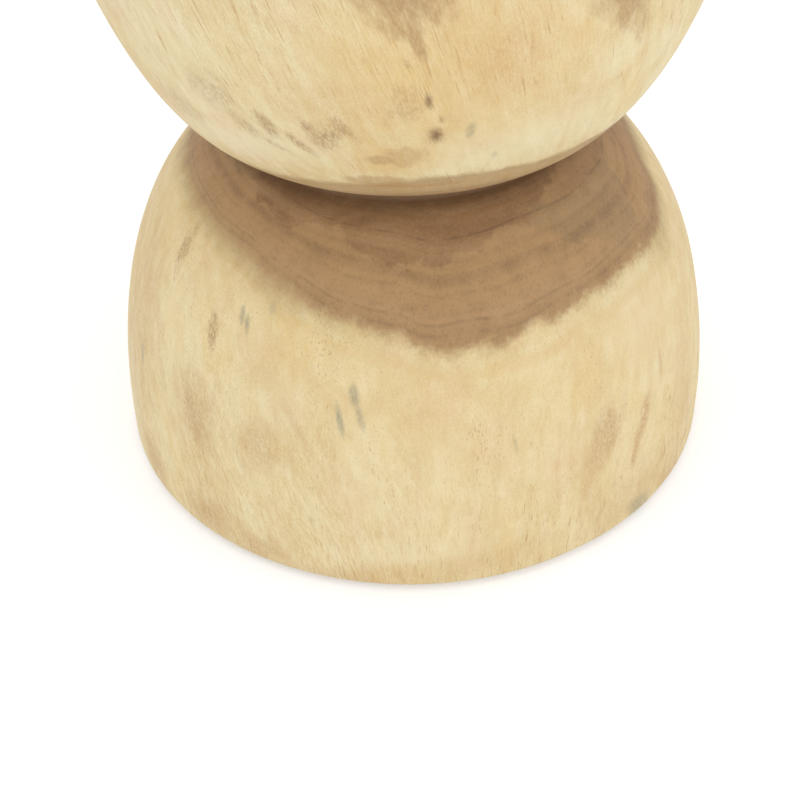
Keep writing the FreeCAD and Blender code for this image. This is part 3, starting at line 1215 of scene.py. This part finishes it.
@dataclass
class CarvedLog:
    """The one-piece wooden body, with a hand-sanded skin and unevenly worn edges."""

    node: str = "carved_body"
    slot: str = "carved_wood"
    segments: int = 384
    edge_rows: int = 7
    shoulder_rows: int = 62
    groove_rows: int = 9
    face_ring_shares: tuple[float, ...] = (0.10, 0.25, 0.42, 0.60, 0.77, 0.90, 0.97, 0.992)
    # Length and height of the waves that hand sanding leaves.
    waves: tuple[Span, ...] = ((110 * MM, 1.0 * MM), (34 * MM, 0.35 * MM))
    worn_foot: float = 1.8 * MM
    worn_rim: float = 1.6 * MM
    worn_length: float = 45 * MM
    worn_contrast: float = 2.4
    # Places on the unwrapped sheet, whose sides are 1.
    strip_ends: Span = (0.005, 0.57)
    disc_radius: float = 0.2
    foot_disc: Span = (0.25, 0.785)
    top_disc: Span = (0.75, 0.785)
    flat_within: float = 1e-6

    def profile(self) -> LogProfile:
        """Read the log's size from the frame."""
        low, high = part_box(self.node)
        return LogProfile(foot_z=low.z, top_z=high.z, radius=(high.x - low.x) / 2)

    def build(self) -> bpy.types.Object:
        """Build the log's mesh.

        Returns:
            The piece that stands for the log's solid.
        """
        profile = self.profile()
        around = circle(self.segments)
        lower = self.half_rows(profile, profile.base, around, profile.foot_z, 1.0, self.worn_foot)
        upper = self.half_rows(profile, profile.bowl, around, profile.top_z, -1.0, self.worn_rim)
        rows = lower + self.groove(profile, around) + upper[::-1]
        poles = np.array([[0.0, 0.0, profile.foot_z], [0.0, 0.0, profile.top_z]])
        vertices = np.concatenate([poles[:1], *rows, poles[1:]])
        piece = mesh_piece("carved_log", vertices, turned_faces(len(rows), self.segments))
        self.unwrap(piece, vertices, rows, profile)
        return piece

    def half_rows(
        self,
        profile: LogProfile,
        shoulder: Shoulder,
        around: np.ndarray,
        end_z: float,
        upward: float,
        worn: float,
    ) -> list[np.ndarray]:
        """Build the rings from one end face's middle to the waist.

        Args:
            profile: Outline of the log.
            shoulder: The base's or the bowl's shoulder.
            around: Unit circle, one point per segment.
            end_z: Height of the end face.
            upward: 1 from the foot to the waist, and -1 from the top.
            worn: Most that the edge is worn beyond its first rounding.

        Returns:
            The rings.
        """
        wear = np.array([
            soft_noise(Vector((x, y, end_z)) * profile.radius, self.worn_length) for x, y in around
        ])
        edge = profile.edge_round + worn * np.clip(self.worn_contrast * wear - 1.0, 0.0, 1.0)
        rows = []
        for share in self.face_ring_shares:
            flat = around * ((profile.radius - edge) * share)[:, None]
            rows.append(np.column_stack([flat, np.full(self.segments, end_z)]))
        for angle in np.linspace(-QUARTER_TURN, 0.0, self.edge_rows):
            radius = profile.radius - edge * (1 - math.cos(angle))
            level = end_z + upward * edge * (1 + math.sin(angle))
            dent = np.maximum(self.relief(around * profile.radius, level), 0.0)
            radius = radius - dent * math.cos(angle)
            rows.append(np.column_stack([around * radius[:, None], level]))
        points, normals = profile.follow(shoulder, self.shoulder_rows)
        for (radius, rise), (out, lift) in zip(points, normals):
            level = np.full(self.segments, end_z + upward * rise)
            inward = self.relief(around * radius, level)
            reach = np.minimum(radius - inward * out, profile.radius)
            rows.append(np.column_stack([around * reach[:, None], level - upward * inward * lift]))
        return rows

    def groove(self, profile: LogProfile, around: np.ndarray) -> list[np.ndarray]:
        """Build the rings of the waist groove, between the two shoulders.

        Args:
            profile: Outline of the log.
            around: Unit circle, one point per segment.

        Returns:
            The rings from below to above.
        """
        lowest = profile.base.flank - QUARTER_TURN
        highest = QUARTER_TURN - profile.bowl.flank
        rows = []
        for angle in np.linspace(lowest, highest, self.groove_rows + 2)[1:-1]:
            radius = profile.waist_radius + profile.groove_round * (1 - math.cos(angle))
            level = np.full(self.segments, profile.waist_z + profile.groove_round * math.sin(angle))
            inward = self.relief(around * radius, level)
            rows.append(np.column_stack([around * (radius - inward)[:, None], level]))
        return rows

    def relief(self, spots: np.ndarray, levels: np.ndarray) -> np.ndarray:
        """Measure how far hand sanding has gone into the turned shape.

        Args:
            spots: Points of a ring, seen from above.
            levels: Height of each point.

        Returns:
            Depth at each point, below zero where the wood stands proud of the turned shape.
        """
        depths = np.zeros(len(spots))
        for length, height in self.waves:
            shares = [soft_noise(Vector((x, y, z)), length) for (x, y), z in zip(spots, levels)]
            depths += height * (np.array(shares) - NOISE_MEAN)
        return depths

    def unwrap(
        self,
        piece: bpy.types.Object,
        vertices: np.ndarray,
        rows: list[np.ndarray],
        profile: LogProfile,
    ) -> None:
        """Lay the side out as one strip and the two end faces as discs above it.

        Args:
            piece: The log.
            vertices: Its points.
            rows: Its rings, from the foot's middle to the top's.
            profile: Outline of the log.
        """
        first = len(self.face_ring_shares)
        side = np.array([row[0] for row in rows[first:-first]])
        steps = np.linalg.norm(np.diff(side, axis=0), axis=1)
        travel = np.concatenate([[0.0], np.cumsum(steps)])
        low, high = self.strip_ends
        strip = low + (high - low) * travel / travel[-1]
        spread = self.disc_radius / profile.radius
        places = np.empty((len(piece.data.loops), 2))
        for face in piece.data.polygons:
            on_foot = face.center.z <= profile.foot_z + self.flat_within
            on_top = face.center.z >= profile.top_z - self.flat_within
            columns = [(index - 1) % self.segments for index in face.vertices]
            wraps = max(columns) - min(columns) > 1
            for loop, index, column in zip(face.loop_indices, face.vertices, columns):
                x, y, _ = vertices[index] * spread
                if on_foot:
                    places[loop] = (self.foot_disc[0] - x, self.foot_disc[1] + y)
                elif on_top:
                    places[loop] = (self.top_disc[0] + x, self.top_disc[1] + y)
                else:
                    turn = self.segments if wraps and column == 0 else column
                    row = (index - 1) // self.segments - first
                    places[loop] = (turn / self.segments, strip[row])
        layer = piece.data.uv_layers.new(name="OFBake")
        layer.data.foreach_set("uv", places.ravel())

    def dress(self, piece: bpy.types.Object) -> None:
        """Give the log its wood and its place in the frame.

        Args:
            piece: The log.
        """
        piece.data.materials.append(RaintreeWood().make(self.profile()))
        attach(piece, BODY)
        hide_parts(self.node)


@dataclass
class Glide:
    """One glide under the foot: a moulded cup, a felt disc and the nail that holds them."""

    place: str
    felt_slot: str = "glide_felt"
    segments: int = 96
    edge_rows: int = 5
    edge_round: float = 0.5 * MM
    seat_gap: float = 0.9 * MM
    dish_radius: float = 3.1 * MM
    nap_size: float = 1.4 * MM
    nap_depth: float = 0.14 * MM
    face_ring_shares: tuple[float, ...] = (0.12, 0.24, 0.36, 0.48, 0.60, 0.72, 0.84, 0.93)

    def node(self, piece: str) -> str:
        """Name of one of this glide's solids."""
        return f"{self.place}_glide_{piece}"

    def build(self) -> bpy.types.Object:
        """Build the felt's mesh: a napped disc with a worn edge, dished on top for the nail's head.

        Returns:
            The piece that stands for the felt's solid.
        """
        low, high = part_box(self.node("felt"))
        middle = (low + high) / 2
        outer = (high.x - low.x) / 2
        outline = [((outer - self.edge_round) * share, low.z) for share in self.face_ring_shares]
        for angle in np.linspace(-QUARTER_TURN, 0.0, self.edge_rows):
            outline.append((
                outer - self.edge_round * (1 - math.cos(angle)),
                low.z + self.edge_round * (1 + math.sin(angle)),
            ))
        outline.append((outer, middle.z))
        napped = len(outline)
        dish_z = high.z - self.seat_gap
        outline += [
            (outer, high.z),
            (self.dish_radius, high.z),
            (self.dish_radius, dish_z),
            (self.dish_radius / 2, dish_z),
        ]
        points = [(middle.x, middle.y, low.z)]
        for row, (radius, level) in enumerate(outline):
            for x, y in circle(self.segments) * radius:
                place = Vector((middle.x + x, middle.y + y, level))
                if row < napped:
                    place = self.nap(place, middle, low.z)
                points.append(place[:])
        points.append((middle.x, middle.y, dish_z))
        faces = turned_faces(len(outline), self.segments)
        return mesh_piece(f"{self.place}_felt_disc", np.array(points), faces)

    def nap(self, place: Vector, middle: Vector, floor: float) -> Vector:
        """Press a point of the felt's skin in by the unevenness of its nap.

        Args:
            place: Point on the smooth disc.
            middle: Middle of the disc.
            floor: Height of the surface that the felt stands on.

        Returns:
            The point, moved up from the floor and in from the side.
        """
        depth = self.nap_depth * soft_noise(place, self.nap_size)
        side = Vector((place.x - middle.x, place.y - middle.y, 0.0)).normalized()
        moved = place - side * depth
        if place.z < floor + self.edge_round:
            moved.z += max(0.0, depth - self.nap_depth / 2)
        return moved

    def dress(
        self,
        felt: bpy.types.Object,
        nodes: Mapping[str, bpy.types.Object],
        finishes: Mapping[str, bpy.types.Material],
    ) -> None:
        """Give the felt, the cup and the nail their finishes and the felt its place in the frame.

        Args:
            felt: The felt's mesh.
            nodes: Solids of the frame by name.
            finishes: Materials by piece.
        """
        felt.data.materials.append(finishes["felt"])
        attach(felt, BODY)
        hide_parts(self.node("felt"))
        for piece in ("cup", "nail"):
            for holder in nodes[self.node(piece)].material_slots:
                holder.material = finishes[piece]


@dataclass(frozen=True)
class SoftBox:
    """A large soft lamp."""

    name: str
    place: tuple[float, float, float]
    width: float
    height: float
    power: float
    aim: tuple[float, float, float] = (0.0, 0.0, 0.24)

    def build(self) -> None:
        """Build the lamp and aim it at the stool."""
        lamp = bpy.data.lights.new(self.name, "AREA")
        lamp.shape = "RECTANGLE"
        lamp.size = self.width
        lamp.size_y = self.height
        lamp.energy = self.power
        holder = bpy.data.objects.new(self.name, lamp)
        holder.location = self.place
        towards = Vector(self.aim) - Vector(self.place)
        holder.rotation_euler = towards.to_track_quat("-Z", "Y").to_euler()
        holder.visible_camera = False
        bpy.context.scene.collection.objects.link(holder)


@dataclass(frozen=True)
class Studio:
    """A white floor in a bright tent of light, with low soft boxes on three sides."""

    tent: float = 0.845
    floor_side: float = 24.0
    floor_colour: float = 0.9
    floor_lift: float = 0.32
    soft_boxes: tuple[SoftBox, ...] = (
        SoftBox("left_soft_box", (-1.5, -1.1, 0.55), 1.2, 1.0, 4.4),
        SoftBox("front_soft_box", (0.2, -1.9, 0.50), 1.2, 0.8, 2.4),
        SoftBox("right_soft_box", (1.5, -1.0, 0.60), 1.2, 1.0, 5.8),
    )

    def build(self) -> None:
        """Build the world, the floor and the lamps."""
        self.build_world()
        self.build_floor()
        for box in self.soft_boxes:
            box.build()

    def background_ray(self, tree: Tree) -> Socket:
        """Tell rays that look at the background, straight or in a reflection, from rays that light things.

        Args:
            tree: Node tree of the floor or the world.

        Returns:
            1 for camera, glossy and transmission rays, and 0 for the rest.
        """
        ray = add_node(tree, "LightPath", {}).node.outputs
        mirrored = add_node(tree, "Math", [
            ray["Is Glossy Ray"], ray["Is Transmission Ray"],
        ], operation="MAXIMUM")
        return add_node(tree, "Math", [ray["Is Camera Ray"], mirrored], operation="MAXIMUM")

    def build_world(self) -> None:
        """Build the tent: white to look at, and an even light from all round."""
        world = bpy.data.worlds.new("light_tent")
        world.use_nodes = True
        bpy.context.scene.world = world
        tree = world.node_tree
        seen = self.background_ray(tree)
        strength = add_node(tree, "MapRange", Ramp(0.0, 1.0, 1.0, self.tent).of(seen))
        plug(tree.nodes["Background"], {"Color": WHITE, "Strength": strength})

    def build_floor(self) -> None:
        """Build the floor, which keeps the stool's shadow and is lifted to white for the camera alone."""
        half = self.floor_side / 2
        sheet = np.array([(-half, -half, 0.0), (half, -half, 0.0), (half, half, 0.0), (-half, half, 0.0)])
        floor = mesh_piece("floor", sheet, [(0, 1, 2, 3)])
        material, shader = new_material("paper_floor_matt_white")
        tree = material.node_tree
        tree.nodes.remove(shader)
        add = partial(add_node, tree)
        grey = (self.floor_colour, self.floor_colour, self.floor_colour, 1.0)
        paper = add("BsdfDiffuse", {"Color": grey})
        lift = add("Math", [self.background_ray(tree), self.floor_lift], operation="MULTIPLY")
        glow = add("Emission", {"Color": WHITE, "Strength": lift})
        plug(tree.nodes["Material Output"], {"Surface": add("AddShader", [paper, glow])})
        floor.data.materials.append(material)


@dataclass(frozen=True)
class PhotoCamera:
    """A camera close above the stool's front, tilted down and rolled a little, as for the photograph."""

    lens_mm: float = 69.09
    sensor_mm: float = 36.0
    place: tuple[float, float, float] = (-0.00939, -0.7456, 0.6276)
    pitch_down: float = 40.618
    roll: float = -2.044

    def build(self) -> None:
        """Build the camera and make it the scene's own."""
        camera = bpy.data.cameras.new("camera")
        camera.lens = self.lens_mm
        camera.sensor_width = self.sensor_mm
        holder = bpy.data.objects.new("camera", camera)
        tilt = Matrix.Rotation(math.radians(90 - self.pitch_down), 4, "X")
        spin = Matrix.Rotation(math.radians(self.roll), 4, "Z")
        holder.matrix_world = Matrix.Translation(self.place) @ tilt @ spin
        bpy.context.scene.collection.objects.link(holder)
        bpy.context.scene.camera = holder


def main() -> None:
    """Build the stool, the studio and the camera."""
    logging.basicConfig(level=logging.INFO, format="%(name)s: %(message)s")
    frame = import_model()
    nodes = frame["nodes"]
    bpy.context.scene.view_settings.view_transform = "Standard"

    wood = CarvedLog()
    body = wood.build()
    wood.dress(body)
    log.info("%s: %d faces", body.name, len(body.data.polygons))

    finishes = {
        "cup": MouldedPolypropylene().make(),
        "felt": PressedFelt().make(),
        "nail": DrawnSteel().make(),
    }
    for place in ("front_right", "rear_right", "rear_left", "front_left"):
        glide = Glide(place)
        felt = glide.build()
        glide.dress(felt, nodes, finishes)
        for piece in (felt, nodes[glide.node("cup")], nodes[glide.node("nail")]):
            log.info("%s: %d faces", piece.name, len(piece.data.polygons))

    Studio().build()
    PhotoCamera().build()


if __name__ == "__main__":
    main()
